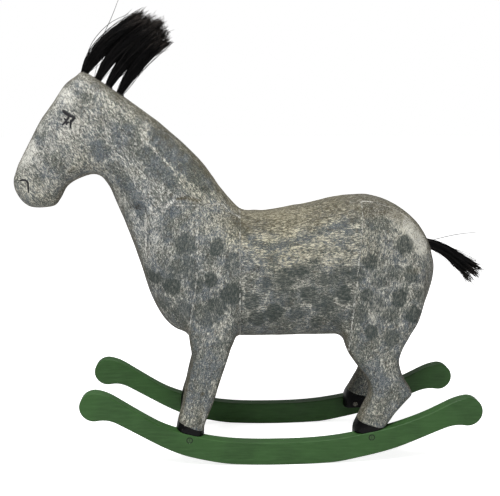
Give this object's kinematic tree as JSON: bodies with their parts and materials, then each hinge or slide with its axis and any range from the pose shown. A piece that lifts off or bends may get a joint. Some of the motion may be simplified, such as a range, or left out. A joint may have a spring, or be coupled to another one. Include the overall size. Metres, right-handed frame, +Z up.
{
  "type": "rocking horse",
  "caption": "Small carved and painted wooden horse with a bristle mane and tail, standing on two curved green rockers that let it rock back and forth.",
  "frame": {"origin": "on the floor, under the middle of the whole object's box", "axes": "+Z up; the horse looks along -X, so its left side is -Y; the rockers run along X"},
  "size_m": [0.5778, 0.144, 0.5301],
  "materials": {
    "dapple_paint": "brushed and worn dapple-grey paint over cream on carved wood",
    "green_paint": "satin green enamel on wood",
    "painted_screw": "steel screw painted over with the green enamel",
    "nut_steel": "dull steel",
    "bristle": "stiff black horsehair bristle",
    "twine": "dark waxed twine",
    "dowel_wood": "bare birch dowel"
  },
  "bodies": {
    "root": {"body_block": "dapple_paint", "neck_and_head": "dapple_paint", "shoulder_left": "dapple_paint", "leg_front_left": "dapple_paint", "leg_rear_left": "dapple_paint", "rocker_left": "green_paint", "screw_front_left": "painted_screw", "sleeve_nut_front_left": "nut_steel", "screw_rear_left": "painted_screw", "sleeve_nut_rear_left": "nut_steel", "shoulder_right": "dapple_paint", "leg_front_right": "dapple_paint", "leg_rear_right": "dapple_paint", "rocker_right": "green_paint", "screw_front_right": "painted_screw", "sleeve_nut_front_right": "nut_steel", "screw_rear_right": "painted_screw", "sleeve_nut_rear_right": "nut_steel", "mane_tuft_1": "bristle", "mane_whipping_1": "twine", "mane_tuft_2": "bristle", "mane_whipping_2": "twine", "mane_tuft_3": "bristle", "mane_whipping_3": "twine", "mane_tuft_4": "bristle", "mane_whipping_4": "twine", "tail_tuft": "bristle", "tail_whipping": "twine", "neck_dowels": "dowel_wood", "front_leg_dowels": "dowel_wood", "rear_leg_dowels": "dowel_wood"}
  },
  "joints": []
}
